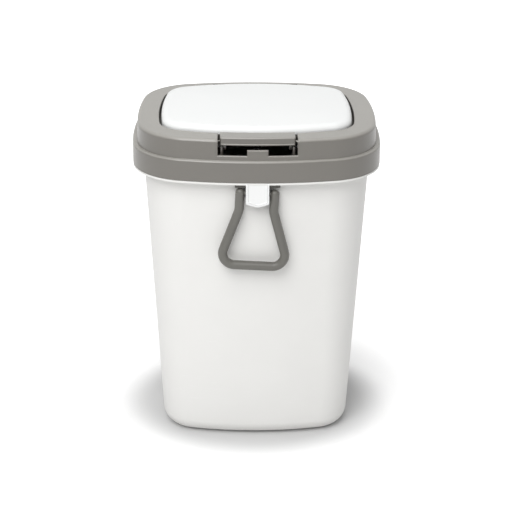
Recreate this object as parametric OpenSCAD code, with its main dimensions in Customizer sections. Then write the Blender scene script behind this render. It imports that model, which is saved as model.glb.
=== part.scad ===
// Countertop bin: tapered bucket, lift-off lid ring, sprung lid, press bar and carry loop.
// Millimetres. The base stands on z = 0, +Z is up, and the front with the press bar faces -Y.

/* [Plan outline] */
// Overall width, over the skirt of the lid ring
ring_w = 190; // [180:1:205]
// Overall depth, over the skirt of the lid ring
ring_d = 160; // [152:1:172]
// Plan radius of the skirt's corners
corner_r = 46.5; // [44:0.5:50]
// Radius of the slow bow in the left and right sides
side_bow_r = 315; // [280:5:380]
// Radius of the slow bow in the front and rear sides
front_bow_r = 290; // [270:5:350]

/* [Opening outline] */
// How far the outline that the lid's opening is inset from passes the ring, at the front and at the rear
mouth_out = 2.3; // [1.8:0.1:2.8]
// Radius of that outline's front and rear bows
mouth_bow_r = 210.6; // [200:1:230]
// Plan radius of that outline's corners
mouth_corner_r = 43; // [41:0.5:46]

/* [Bucket] */
// Height of the rim flange that carries the lid ring
flange_z = 224.5; // [200:1:250]
// How far the bucket's wall stands back from the skirt, at the flange
wall_in = 8.3; // [8:0.1:9]
// How far the bucket's wall stands back from the skirt, at the floor
base_in = 18.9; // [16:0.1:21]
// Wall thickness of the bucket
bucket_wall = 1.8; // [1.4:0.1:2.2]
// Thickness of the bucket's floor
floor_t = 2; // [1.6:0.1:3]
// Radius between the bucket's wall and its base
base_fillet = 12; // [8:0.5:14]
// Width of the ring-shaped foot
foot_w = 5; // [3:0.5:8]
// Height of the hollow inside the foot
foot_h = 2; // [1:0.1:2.5]
// Thickness of the rim flange
flange_t = 1.6; // [1.2:0.1:2]
// How far the flange's edge stands back from the skirt
flange_in = 0.1; // [0:0.1:0.6]
// Height of the upstand that locates the lid ring
upstand_h = 11.5; // [8:0.5:12]
// Thickness of the upstand
upstand_t = 1.8; // [1.4:0.1:2]

/* [Lid ring] */
// Height of the lower tier, the skirt
skirt_h = 16.2; // [15:0.1:20]
// Height of the upper tier
tier_h = 15.4; // [15:0.1:17]
// How far the upper tier stands back at its foot
step_in = 2.3; // [2:0.1:3]
// How far the flat of the top face stands back from the skirt
top_in = 4.7; // [4.4:0.1:5.4]
// Radius of the rounded shoulder of the skirt
shoulder_r = 1.8; // [1:0.1:1.8]
// Radius of the upper tier's top edge
edge_r = 1.8; // [1:0.1:1.8]
// Wall thickness of the ring
ring_wall = 2; // [1.8:0.1:2.2]
// How far the opening for the lid stands back from the skirt
opening_in = 20.6; // [20:0.1:21.4]
// Radius of the opening's upper lip
lip_r = 0.8; // [0.4:0.1:1]
// Depth of the seat below the top face
seat_drop = 5.5; // [5.4:0.1:6]
// Width of the seat
seat_w = 4.5; // [4:0.1:6]
// Thickness of the seat
seat_t = 1.8; // [1.6:0.1:2.2]

/* [Front window and pocket] */
// Width of the window in the ring's front wall
window_w = 57.5; // [54:0.5:62]
// Height of the window's sill above the step
sill_h = 3.5; // [3.2:0.1:4]
// Width of the stop tab in the middle of the window
stop_w = 15.5; // [12:0.5:18]
// Height of the stop tab above the sill
stop_h = 4.3; // [3:0.1:4.3]
// Depth of the pocket's floor below the sill
pocket_drop = 4.5; // [3:0.1:4.8]
// Thickness of each bearing rib in the pocket
block_w = 1.8; // [1.6:0.1:2.2]
// Gap between each bearing rib and the end of the pocket
block_gap = 1.6; // [1.2:0.1:1.8]
// Width of the passage for the hook
passage_w = 15; // [14:0.5:18]

/* [Press bar] */
// Gap between each end of the bar and the window
bar_gap = 1.55; // [1:0.05:1.8]
// How far the bar's face stands back from the skirt
bar_in = 4.4; // [4.2:0.1:4.8]
// How far the bar's top stands above the ring's top face
bar_rise = 1.2; // [1.2:0.1:2]
// Height of the bar's front face
bar_h = 6; // [5.4:0.1:6]
// Wall thickness of the bar
bar_wall = 1.8; // [1.4:0.1:2]
// Radius of the bar's top edge
bar_r = 1.4; // [0.8:0.1:1.4]
// Distance from the skirt back to the bar's pins
press_in = 14.7; // [14.4:0.1:15]
// Height of the bar's pins above the sill
press_h = 3.3; // [3.2:0.05:3.5]
// Thickness of each lug of the bar
lug_t = 2.2; // [1.8:0.1:3]
// Width of the hook
hook_w = 12; // [10:0.5:12.5]
// How far the hook reaches over the catch
hook_bite = 0.9; // [0.6:0.05:1]
// Thickness of the hook's nose
nose_t = 1.6; // [1.2:0.1:1.8]

/* [Lid] */
// Gap between the lid and the opening
lid_gap = 1.5; // [1.2:0.1:1.8]
// Gap between the lid's rim and the seat
seat_gap = 0.3; // [0.2:0.05:0.4]
// Wall thickness of the lid panel
panel_wall = 1.8; // [1.5:0.1:2]
// Width of the rounding from the panel's side to its top
round_w = 5; // [4.5:0.1:7]
// Height of that rounding
round_h = 4.4; // [3.4:0.1:5]
// Rise of the panel's crown above the rounding
crown_h = 0.9; // [0.4:0.1:1.4]
// Thickness of the lid's inner plate
plate_t = 1.6; // [1.4:0.1:1.8]
// Width of the catch in the middle of the lid's front
catch_w = 13; // [12:0.5:14]
// Height of the catch
catch_h = 1.4; // [1.2:0.1:1.6]
// Distance between the lid screws, left to right
screw_span_x = 96; // [84:1:100]
// Distance between the lid screws, front to rear
screw_span_y = 60; // [48:1:64]

/* [Lid hinge] */
// Distance from the opening's outline to the hinge axis
hinge_in = 16.8; // [16.4:0.1:17]
// Depth of the hinge axis below the ring's top face
hinge_drop = 2.3; // [2.2:0.1:2.5]
// Radius of the hinge pins and of the press bar's pins
pin_r = 1; // [0.8:0.05:1.1]
// Outer radius of the hinge knuckles
knuckle_r = 2.6; // [2.3:0.1:2.6]
// Width of each lid knuckle
knuckle_w = 6; // [5:0.5:6.5]
// Distance from the middle to the inner ear of each hinge
ear_x = 17.4; // [14:0.2:20]
// Thickness of each ear
ear_t = 2; // [1.6:0.1:2.4]
// Room for the coil of a hinge spring
coil_room = 5.4; // [5.2:0.1:6]
// Wire diameter of the hinge springs
hinge_wire = 0.8; // [0.6:0.05:0.8]
// Depth of the hinge well below the top face
well_drop = 6.6; // [6.4:0.1:7]

/* [Loop and its clip] */
// Rod diameter of the carry loop
rod_d = 6.4; // [5.6:0.1:6.6]
// Overall width of the loop
loop_w = 53.2; // [48:0.1:60]
// Distance between the rods at the top of the loop
loop_top_w = 25.6; // [25:0.1:28]
// Distance from the loop's pins down to the middle of its lower bar
loop_h = 58; // [50:0.5:70]
// Straight length of the legs below the pins
leg_h = 11.5; // [8:0.5:14]
// Bend radius where the legs turn outward
leg_bend_r = 16; // [12:1:20]
// Bend radius of the lower corners
loop_corner_r = 9.5; // [8:0.5:12]
// Angle by which the loop hangs askew, seen from the front
loop_lean = 3; // [0:0.5:4]
// Depth of the loop's pins below the rim flange's top
loop_drop = 9.2; // [8.8:0.1:9.6]
// Radius of the loop's pins
loop_pin_r = 1.7; // [1.4:0.1:1.9]
// Width of the white tongue
tongue_w = 17; // [14:0.5:17]
// Height of the tongue's straight sides
tongue_h = 14.6; // [12:0.1:16]
// Height of the rounded end of the tongue
tongue_tip = 2.4; // [1.5:0.1:4]
// Thickness of the tongue
tongue_t = 1.6; // [1.2:0.1:1.8]
// Width of the saddle
saddle_w = 33; // [28:1:40]
// Height of the saddle's strip
strip_h = 3; // [2:0.1:3.2]

/* [Clearances] */
// Gap between the ring's lower edge and the rim flange
rim_gap = 0.15; // [0.1:0.05:0.3]
// Radial clearance of a turning pin
run_gap = 0.05; // [0.02:0.01:0.1]
// Gap between parts that fit into each other
fit_gap = 0.1; // [0.05:0.05:0.2]
// Gap beside the knuckles and lugs
side_gap = 0.4; // [0.3:0.05:0.5]

/* [Hidden] */

white = [0.93, 0.93, 0.91];
bright_white = [0.97, 0.97, 0.96];
warm_grey = [0.53, 0.52, 0.49];
dark_grey = [0.44, 0.43, 0.4];
steel = [0.72, 0.73, 0.75];
rubber = [0.3, 0.3, 0.3];

// Steps along one quarter of the outline: side, corner, front
side_steps = 3;
corner_steps = 9;
front_steps = 4;
// Turns of a full circle for the long bows, and for small round parts
bow_fn = 360;
round_fn = 48;
// A small overlap that keeps a cut clear of the face that it starts from
eps = 0.5;

half_w = ring_w / 2;
half_d = ring_d / 2;
mouth_half_d = half_d + mouth_out;

// An outline of four bows and four corners: half width, half depth and the three radii,
// then the middles of its side, front and corner arcs, and the angles where they meet
function outline(half_x, half_y, side_r, front_r, turn_r) = let (
    side_c = [half_x - side_r, 0],
    front_c = [0, half_y - front_r],
    apart = norm(front_c - side_c),
    towards = (front_c - side_c) / apart,
    reach = [side_r - turn_r, front_r - turn_r],
    along = (pow(reach.x, 2) - pow(reach.y, 2) + pow(apart, 2)) / (2 * apart),
    across = sqrt(pow(reach.x, 2) - pow(along, 2)),
    turn_c = side_c + along * towards + across * [-towards.y, towards.x])
    [half_y, side_r, front_r, turn_r, side_c, front_c, turn_c,
        atan2(turn_c.y, turn_c.x - side_c.x), atan2(turn_c.y - front_c.y, turn_c.x)];
skirt = outline(half_w, half_d, side_bow_r, front_bow_r, corner_r);
mouth = outline(half_w, mouth_half_d, side_bow_r, mouth_bow_r, mouth_corner_r);

// Heights
ring_z = flange_z + rim_gap;
step_z = ring_z + skirt_h;
top_z = step_z + tier_h;
sill_z = step_z + sill_h;
seat_z = top_z - seat_drop;
rim_z = seat_z + seat_gap;
bar_top_z = top_z + bar_rise;
bar_low_z = bar_top_z - bar_h;
bar_under_z = bar_top_z - bar_wall;
stop_z = sill_z + stop_h;
press_z = sill_z + press_h;
pocket_z = sill_z - pocket_drop;
floor_plate_z = pocket_z - ring_wall;
rib_x = window_w / 2 - block_gap - block_w;
catch_z = rim_z + catch_h;
nose_z = catch_z + fit_gap + 0.1;
notch_z = top_z - 0.9;
press_y = -(half_d - press_in);

// Lid levels
lid_in = opening_in + lid_gap;
lid_side_z = top_z - 0.3;
round_z = lid_side_z + round_h;
crown_z = round_z + crown_h;
inner_in = lid_in + panel_wall + fit_gap;
lid_half_d = mouth_half_d - lid_in;
inner_half_d = mouth_half_d - inner_in;
plate_top_z = rim_z + plate_t;
upstand_z = top_z - panel_wall - 0.2;
screw_pad_z = plate_top_z + 1.2;

// Lid hinge, right side; the left one is its mirror image
hinge_y = mouth_half_d - hinge_in;
hinge_z = top_z - hinge_drop;
well_z = top_z - well_drop;
knuckle_x = ear_x + ear_t + side_gap;
coil_x = knuckle_x + knuckle_w + side_gap;
outer_ear_x = coil_x + coil_room;
well_half_w = outer_ear_x + ear_t + 1;
well_back_y = hinge_y + knuckle_r + 1.2;
well_front_y = mouth_half_d - opening_in - seat_w - 3.2;
coil_r = pin_r + 0.9;

// Clip and loop
wall_y = half_d - wall_in;
tongue_y = half_d - flange_in - 0.2;
loop_y = half_d - 4.7;
loop_z = flange_z - loop_drop;
flange_low_z = flange_z - flange_t;
rod_r = rod_d / 2;
leg_x = loop_top_w / 2;
bend_c = [leg_x + leg_bend_r, -leg_h];
loop_corner_c = [loop_w / 2 - rod_r - loop_corner_r, loop_corner_r - loop_h];
bend_gap = norm(bend_c - loop_corner_c);
bend_sum = leg_bend_r + loop_corner_r;
slant = asin(bend_sum / bend_gap) - atan2(bend_c.x - loop_corner_c.x, bend_c.y - loop_corner_c.y);
slant_len = sqrt(pow(bend_gap, 2) - pow(bend_sum, 2));

function dir(a) = [cos(a), sin(a)];
function arc(c, r, from, to, n) = [for (i = [0:n]) c + r * dir(from + (to - from) * i / n)];
function bend(c, size, from, to, n) =
    [for (i = [0:n]) let (p = dir(from + (to - from) * i / n)) c + [size.x * p.x, size.y * p.y]];

// One quarter of an outline, inset by t
function quarter(t, o) = concat(
    [for (i = [0:side_steps - 1]) o[4] + (o[1] - t) * dir(o[7] * i / side_steps)],
    [for (i = [0:corner_steps - 1]) o[6] + (o[3] - t) * dir(o[7] + (o[8] - o[7]) * i / corner_steps)],
    [for (i = [0:front_steps - 1]) o[5] + (o[2] - t) * dir(o[8] + (90 - o[8]) * i / front_steps)]);

// The whole outline, counter-clockwise
function plan(t, o = skirt) = let (q = quarter(t, o), n = len(q)) concat(
    q,
    [[0, o[0] - t]],
    [for (i = [n - 1:-1:0]) [-q[i].x, q[i].y]],
    [for (i = [1:n - 1]) -q[i]],
    [[0, t - o[0]]],
    [for (i = [n - 1:-1:1]) [q[i].x, -q[i].y]]);

// The outline at inset p[0] and height p[1], shrunk about the middle by k
function level(p, o = skirt, k = 1) = [for (q = plan(p[0], o)) [k * q.x, k * q.y, p[1]]];
function levels(profile, o = skirt) = [for (p = profile) level(p, o)];

// The bucket's outer wall leans in towards the floor
function wall_at(z) = wall_in + (base_in - wall_in) * (flange_z - z) / flange_z;
// Y of a point on an outline's front bow at inset t
function bow_y(x, t, o = skirt) = -o[5].y - sqrt(pow(o[2] - t, 2) - x * x);

// Skin over outlines with the same number of points, with flat ends or closed on itself
module skin(outlines, looped = false, split = false) {
    n = len(outlines[0]);
    m = len(outlines);
    last = looped ? m - 1 : m - 2;
    sides = [for (j = [0:last]) for (i = [0:n - 1])
        let (a = j * n, b = ((j + 1) % m) * n, k = (i + 1) % n)
        each split ? [[a + i, b + i, b + k], [a + i, b + k, a + k]] : [[a + i, b + i, b + k, a + k]]];
    ends = looped ? [] : [[for (i = [0:n - 1]) i], [for (i = [n - 1:-1:0]) (m - 1) * n + i]];
    polyhedron(points = [for (o = outlines) each o], faces = concat(sides, ends), convexity = 8);
}

// Box from its low corner to its high corner
module box(low, high) {
    translate(low) cube(high - low);
}

// Rod along X, from x0 to x1
module rod_x(x0, x1, y, z, r) {
    translate([x0, y, z]) rotate([0, 90, 0]) cylinder(h = x1 - x0, r = r, $fn = round_fn);
}

// Slice between two front bows, each given as [inset, outline], over a box in x and z
module front_band(near, far, x0, x1, z0, z1) {
    intersection() {
        box([x0, -half_d - eps, z0], [x1, 0, z1]);
        difference() {
            bow_disc(near, z0 - eps, z1 + eps);
            bow_disc(far, z0 - 2 * eps, z1 + 2 * eps);
        }
    }
}

module bow_disc(p, z0, z1) {
    translate([0, -p[1][5].y, z0]) cylinder(h = z1 - z0, r = p[1][2] - p[0], $fn = bow_fn);
}

// Sweep of a round wire along points; the wire never runs along the given axis
module wire(path, r, axis, sides = 6) {
    n = len(path);
    rings = [for (i = [0:n - 1])
        let (d = path[min(i + 1, n - 1)] - path[max(i - 1, 0)], t = d / norm(d),
            w = cross(t, axis), u = w / norm(w), v = cross(t, u))
        [for (s = [0:sides - 1]) path[i] + r * (cos(360 * s / sides) * u + sin(360 * s / sides) * v)]];
    skin(rings, split = true);
}

// Tapered cup with a ring-shaped foot, a rim flange and an upstand inside the skirt
module bucket() {
    inner = bucket_wall;
    upstand_in = ring_wall + fit_gap * 5 + 0.2;
    upstand_top = flange_z + upstand_h;
    soft = 0.6;
    outside = [for (i = [0:6]) let (a = 90 - 15 * i, z = base_fillet * (1 - sin(a)))
        [wall_at(z) + base_fillet * (1 - cos(a)), z]];
    inner_fillet = base_fillet - bucket_wall;
    inside = [for (i = [0:4]) let (a = 22.5 * i, z = foot_h + floor_t + inner_fillet * (1 - sin(a)))
        [wall_at(z) + inner + inner_fillet * (1 - cos(a)), z]];
    foot_edge = wall_at(0) + base_fillet + foot_w;
    profile = concat(
        [[foot_edge + 1, foot_h], [foot_edge, 0]],
        outside,
        [[wall_at(flange_low_z - 1), flange_low_z - 1], [wall_in - 1, flange_low_z],
            [flange_in + 0.3, flange_low_z], [flange_in, flange_low_z + 0.3],
            [flange_in, flange_z], [upstand_in, flange_z],
            [upstand_in, upstand_top - soft], [upstand_in + soft, upstand_top],
            [upstand_in + upstand_t - soft, upstand_top], [upstand_in + upstand_t, upstand_top - soft],
            [upstand_in + upstand_t, flange_z + 0.4], [wall_in + inner, flange_z - 1.2]],
        inside);
    color(white) skin(levels(profile));
}

// Two-tier ring moulding: skirt, step, top face, opening and seat, as one closed section
module ring_shell() {
    shoulder = arc([shoulder_r + 0.3, step_z - shoulder_r], shoulder_r, 180, 90, 4);
    edge = arc([top_in, top_z - edge_r], edge_r, 180, 90, 4);
    lip = arc([opening_in - lip_r, top_z - lip_r], lip_r, 90, 0, 3);
    seat_edge = opening_in + seat_w;
    wall_top = top_in - edge_r + ring_wall;
    inside = concat(
        lip,
        [[opening_in, seat_z], [seat_edge, seat_z], [seat_edge, seat_z - seat_t],
            [opening_in - ring_wall, seat_z - seat_t], [opening_in - ring_wall, top_z - ring_wall]]);
    under = [[wall_top, top_z - ring_wall], [step_in + ring_wall, step_z - ring_wall],
        [ring_wall + 0.2, step_z - ring_wall], [ring_wall, ring_z]];
    skin(concat(levels(concat([[0, ring_z]], shoulder, [[step_in, step_z]], edge)),
        levels(inside, mouth), levels(under)), looped = true);
}

// Everything that the front window and its pocket take out of the shell
module window_cut() {
    half = window_w / 2;
    inner_wall = opening_in - ring_wall;
    difference() {
        front_band([-1, skirt], [inner_wall - 0.1, mouth], -half, half, sill_z, top_z + eps);
        front_band([-2, skirt], [step_in + ring_wall + 0.2, skirt], -stop_w / 2, stop_w / 2, sill_z - eps, stop_z);
    }
    front_band([inner_wall - 0.2, mouth], [opening_in + 0.2, mouth], -half, half, notch_z, top_z + eps);
    front_band([inner_wall - 0.2, mouth], [opening_in + 0.2, mouth], -passage_w / 2, passage_w / 2,
        catch_z - 0.3, top_z + eps);
}

// Floor, end walls, bearing ribs and spring post of the pocket behind the window
module pocket() {
    half = window_w / 2;
    front = [step_in + ring_wall / 2, skirt];
    back = [opening_in - ring_wall / 2, mouth];
    front_band(front, back, -half - ring_wall, half + ring_wall, floor_plate_z, pocket_z);
    for (s = [-1, 1]) {
        x0 = s > 0 ? half : -half - ring_wall;
        front_band(front, back, x0, x0 + ring_wall, floor_plate_z, top_z - ring_wall / 2);
        b0 = s > 0 ? rib_x : -rib_x - block_w;
        front_band([block_in, skirt], back, b0, b0 + block_w, pocket_z - eps, press_z + 1.8);
    }
    translate([0, spring_y(), pocket_z - eps]) {
        cylinder(h = pocket_drop + eps, r = 3.2, $fn = round_fn);
        cylinder(h = pocket_drop + eps + 2, r = 1.3, $fn = round_fn);
    }
}

// How far the bearing ribs stand back from the skirt
block_in = 9;

// Distance from the middle of the bin to the return spring
function spring_y() = -(half_d - step_in - ring_wall - 5.2);

// Floor, walls and ears of the well that holds the lid hinge
module hinge_well() {
    wide = well_half_w + ring_wall;
    under = well_z - ring_wall;
    box([-wide, well_front_y, under], [wide, well_back_y + ring_wall, well_z]);
    box([-wide, well_back_y, under], [wide, well_back_y + ring_wall, top_z - ring_wall / 2]);
    for (s = [-1, 1]) {
        x0 = s > 0 ? well_half_w : -wide;
        box([x0, -bow_y(well_half_w, opening_in - ring_wall / 2, mouth), under],
            [x0 + ring_wall, well_back_y + ring_wall, top_z - ring_wall / 2]);
        for (e = [ear_x, outer_ear_x]) {
            e0 = s > 0 ? e : -e - ear_t;
            box([e0, hinge_y - knuckle_r + 0.2, well_z - eps], [e0 + ear_t, hinge_y + knuckle_r - 0.2, hinge_z]);
            rod_x(e0, e0 + ear_t, hinge_y, hinge_z, knuckle_r - 0.2);
        }
    }
}

module lid_ring() {
    half = window_w / 2;
    color(warm_grey) difference() {
        union() {
            difference() {
                ring_shell();
                window_cut();
                box([-well_half_w, well_front_y - 1, well_z], [well_half_w, well_back_y, top_z + eps]);
            }
            pocket();
            hinge_well();
        }
        for (s = [-1, 1]) {
            b0 = s > 0 ? rib_x - eps : -half - ring_wall - eps;
            rod_x(b0, b0 + block_w + block_gap + ring_wall + 2 * eps, press_y, press_z, pin_r);
            e0 = s > 0 ? ear_x - eps : -outer_ear_x - ear_t - eps;
            rod_x(e0, e0 + outer_ear_x - ear_x + ear_t + 2 * eps, hinge_y, hinge_z, pin_r);
        }
        bumper_seats(bumper_r, seat_z - bumper_deep);
    }
}

// Soft pads let into the seat, under the lid's rim
bumper_r = 1.6;
bumper_deep = 1;
bumper_x = 40;

module bumper_seats(r, z) {
    for (s = [-1, 1]) translate([s * bumper_x, bow_y(bumper_x, lid_in + panel_wall / 2, mouth), z])
        cylinder(h = seat_gap + bumper_deep, r = r, $fn = round_fn);
}

module lid_bumpers() {
    color(rubber) intersection() {
        bumper_seats(bumper_r, seat_z - bumper_deep);
        box([-half_w, -half_d, 0], [half_w, half_d, rim_z - 0.05]);
    }
}

// One hinge pin, from the inner ear to the outer ear
module hinge_pin(s) {
    x0 = s > 0 ? ear_x : -outer_ear_x - ear_t;
    color(steel) rod_x(x0, x0 + outer_ear_x - ear_x + ear_t, hinge_y, hinge_z, pin_r);
}
module hinge_pin_left() { hinge_pin(-1); }
module hinge_pin_right() { hinge_pin(1); }

// Torsion spring round a hinge pin: one leg stands on the well, the other lies under the lid
module hinge_spring() {
    r = hinge_wire / 2;
    turns = 4;
    ground_a = 197.5;
    lid_a = 283;
    sweep_a = ground_a - lid_a + 360 * (turns + 1);
    steps = 10 * turns + 8;
    x0 = outer_ear_x - 0.2 - r;
    x1 = coil_x + 0.1 + r;
    c = [hinge_y, hinge_z];
    ground = c + coil_r * dir(ground_a);
    ground_leg = (ground.y - well_z - r - 0.1) / cos(ground_a - 180);
    ground_end = ground - ground_leg * [sin(ground_a), -cos(ground_a)];
    lid_start = c + coil_r * dir(lid_a);
    lid_slope = [sin(lid_a), -cos(lid_a)];
    lid_end = lid_start + 8.8 * lid_slope;
    coil = [for (i = [0:steps]) let (p = c + coil_r * dir(ground_a - sweep_a * i / steps))
        [x0 + (x1 - x0) * i / steps, p.x, p.y]];
    color(steel) wire(concat([[x0, ground_end.x, ground_end.y]], coil, [[x1, lid_end.x, lid_end.y]]), r, [1, 0, 0]);
}
module hinge_spring_right() { hinge_spring(); }
module hinge_spring_left() { mirror([1, 0, 0]) hinge_spring(); }

// Section of the press bar, revolved about the axis of the front bow
module bar_revolve(section) {
    translate([0, -skirt[5].y, 0]) rotate([0, 0, -90 - bar_turn]) rotate_extrude(angle = 2 * bar_turn, $fn = bow_fn)
        polygon(section);
}
bar_turn = 7;
bar_half = window_w / 2 - bar_gap;
bar_back_y = -(mouth_half_d - opening_in + 0.8);
web_y = bar_back_y - 1.8;

module press_bar() {
    low_r = 1;
    r_front = front_bow_r - bar_in;
    r_back = front_bow_r - half_d - bar_back_y;
    r_wall = r_back + 1.7;
    outer = concat(
        [[r_back, bar_under_z], [r_wall, bar_under_z], [r_wall, bar_low_z + 1.2]],
        arc([r_front - low_r, bar_low_z + low_r], low_r, -90, 0, 4),
        arc([r_front - bar_r - 0.2, bar_top_z - bar_r], bar_r, 0, 90, 5),
        [[r_back + 0.6, bar_top_z], [r_back, bar_top_z - 0.6]]);
    inner = [[r_back - 1, bar_low_z - 1], [r_front - bar_wall, bar_low_z - 1],
        [r_front - bar_wall - 0.2, bar_under_z], [r_back - 1, bar_under_z]];
    cavity = bar_half - 1.5;
    lug_x = rib_x - side_gap - lug_t;
    nose_y = hook_bite - (mouth_half_d - lid_in);
    color(warm_grey) difference() {
        union() {
            difference() {
                intersection() {
                    bar_revolve(outer);
                    box([-bar_half, -half_d, 0], [bar_half, 0, bar_top_z + eps]);
                }
                intersection() {
                    bar_revolve(inner);
                    box([-cavity, -half_d, 0], [cavity, 0, bar_top_z + eps]);
                }
            }
            for (s = [-1, 1]) {
                x0 = s > 0 ? lug_x : -lug_x - lug_t;
                box([x0, press_y - lug_r, press_z], [x0 + lug_t, press_y + lug_r, bar_under_z + eps]);
                rod_x(x0, x0 + lug_t, press_y, press_z, lug_r);
            }
            // The hook: a web down from the bar's rear edge, with a nose over the catch
            box([-hook_w / 2, web_y, nose_z], [hook_w / 2, bar_back_y, bar_under_z + eps]);
            box([-hook_w / 2, web_y, nose_z], [hook_w / 2, nose_y, nose_z + nose_t]);
            translate([0, spring_y(), bar_under_z - 1.6]) cylinder(h = 1.6 + eps, r = 3.6, $fn = round_fn);
        }
        for (s = [-1, 1]) {
            x0 = s > 0 ? lug_x - eps : -lug_x - lug_t - eps;
            rod_x(x0, x0 + lug_t + 2 * eps, press_y, press_z, pin_r + run_gap);
        }
        translate([0, spring_y(), bar_under_z - 2]) cylinder(h = 2, r = 2.8, $fn = round_fn);
    }
}
lug_r = 2.1;

// One pin of the press bar, from the pocket's end wall through the rib and the lug
module press_pin(s) {
    x1 = window_w / 2 + ring_wall;
    reach = x1 - rib_x + side_gap + lug_t;
    x0 = s > 0 ? x1 - reach : -x1;
    color(steel) rod_x(x0, x0 + reach, press_y, press_z, pin_r);
}
module press_pin_left() { press_pin(-1); }
module press_pin_right() { press_pin(1); }

// Return spring of the press bar, behind the stop tab
module press_spring() {
    r = 0.3;
    turns = 5;
    coil = 2.1;
    low = sill_z + r;
    high = bar_under_z - r;
    steps = 10 * turns;
    path = [for (i = [0:steps]) [coil * cos(360 * turns * i / steps),
        spring_y() + coil * sin(360 * turns * i / steps), low + (high - low) * i / steps]];
    color(steel) wire(path, r, [0, 0, 1]);
}

// Domed lid panel with a deep rim, and notches for the catch and the hinge arms
module lid_panel() {
    drop = panel_wall;
    under_in = lid_in + drop;
    under_side = lid_side_z - drop;
    flat_in = lid_in + round_w;
    over = bend([flat_in, lid_side_z], [round_w, round_h], 180, 90, 6);
    under = bend([flat_in, under_side], [round_w - drop, round_h], 90, 180, 4);
    outlines = concat(
        [level([flat_in + 9, under_side + round_h + crown_h], mouth, 0.5)],
        [level([flat_in + 9, under_side + round_h + crown_h * 0.6], mouth)],
        levels(under, mouth),
        levels([[under_in, rim_z], [lid_in + 0.4, rim_z], [lid_in, rim_z + 0.4]], mouth),
        levels(over, mouth),
        [level([flat_in + 9, round_z + crown_h * 0.6], mouth)],
        [level([flat_in + 9, crown_z], mouth, 0.5)]);
    arm_cut = knuckle_w + 2 * fit_gap + 0.4;
    color(bright_white) difference() {
        union() {
            skin(outlines);
            for (x = [-1, 1], y = [-1, 1]) translate([x * screw_span_x / 2, y * screw_span_y / 2, screw_pad_z])
                cylinder(h = under_side + round_h + crown_h * 0.6 - screw_pad_z + 0.6, r = 3, $fn = round_fn);
        }
        box([-catch_w / 2 - fit_gap, -lid_half_d - 1, rim_z - 1],
            [catch_w / 2 + fit_gap, 2 - inner_half_d, lid_side_z - 0.7]);
        for (s = [-1, 1]) {
            x0 = s > 0 ? knuckle_x - fit_gap - 0.2 : -knuckle_x - knuckle_w - fit_gap - 0.2;
            box([x0, inner_half_d - 3.5, rim_z - 1], [x0 + arm_cut, lid_half_d + 1, lid_side_z - 0.7]);
        }
        for (x = [-1, 1], y = [-1, 1]) translate([x * screw_span_x / 2, y * screw_span_y / 2, screw_pad_z - eps])
            cylinder(h = 4 + eps, r = screw_r, $fn = round_fn);
    }
}
screw_r = 1.2;
screw_l = 4.6;
screw_head_r = 2.5;
screw_head_h = 1.3;

// Underside of the lid: plate with an upstand, hinge arms with knuckles, and the catch
module lid_inner() {
    outlines = levels([[inner_in, rim_z], [inner_in, upstand_z], [inner_in + 1.4, upstand_z],
        [inner_in + 1.4, plate_top_z]], mouth);
    head_seat = plate_top_z - 0.2;
    color(warm_grey) difference() {
        union() {
            skin(outlines);
            box([-catch_w / 2, -lid_half_d, rim_z], [catch_w / 2, 1 - inner_half_d, catch_z]);
            for (s = [-1, 1]) {
                x0 = s > 0 ? knuckle_x : -knuckle_x - knuckle_w;
                box([x0, inner_half_d - 3, rim_z], [x0 + knuckle_w, hinge_y, hinge_z]);
                rod_x(x0, x0 + knuckle_w, hinge_y, hinge_z, knuckle_r);
            }
            for (x = [-1, 1], y = [-1, 1]) translate([x * screw_span_x / 2, y * screw_span_y / 2, plate_top_z - eps])
                cylinder(h = screw_pad_z - plate_top_z + eps, r = 4.2, $fn = round_fn);
        }
        for (s = [-1, 1]) {
            x0 = s > 0 ? knuckle_x - eps : -knuckle_x - knuckle_w - eps;
            rod_x(x0, x0 + knuckle_w + 2 * eps, hinge_y, hinge_z, pin_r + run_gap);
        }
        for (x = [-1, 1], y = [-1, 1]) translate([x * screw_span_x / 2, y * screw_span_y / 2, 0]) {
            translate([0, 0, rim_z - eps]) cylinder(h = head_seat - rim_z + eps, r = screw_head_r + 0.3, $fn = round_fn);
            translate([0, 0, rim_z]) cylinder(h = screw_l + screw_head_h, r = screw_r + 0.3, $fn = round_fn);
        }
    }
}

// The four screws that hold the inner plate to the panel
module lid_screws() {
    head_seat = plate_top_z - 0.2;
    color(steel) for (x = [-1, 1], y = [-1, 1])
        translate([x * screw_span_x / 2, y * screw_span_y / 2, head_seat]) {
            translate([0, 0, -screw_head_h]) cylinder(h = screw_head_h, r = screw_head_r, $fn = round_fn);
            cylinder(h = screw_l, r = screw_r, $fn = round_fn);
        }
}

// White tongue: a plate that hangs in front of the loop's pins, with a foot under the flange
module handle_tab() {
    low = flange_low_z - tongue_h;
    tip_r = (pow(tongue_w / 2, 2) + pow(tongue_tip, 2)) / (2 * tongue_tip);
    color(bright_white) union() {
        translate([0, -tongue_y + tongue_t, 0]) rotate([90, 0, 0]) linear_extrude(tongue_t) union() {
            translate([-tongue_w / 2, low]) square([tongue_w, tongue_h]);
            intersection() {
                translate([0, low - tongue_tip + tip_r]) circle(r = tip_r, $fn = 96);
                translate([-tongue_w / 2, low - tongue_tip]) square([tongue_w, tongue_tip + 0.1]);
            }
        }
        box([-tongue_w / 2, -tongue_y, flange_low_z - foot_t], [tongue_w / 2, -wall_y - 0.8, flange_low_z]);
    }
}
foot_t = 1.2;

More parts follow.
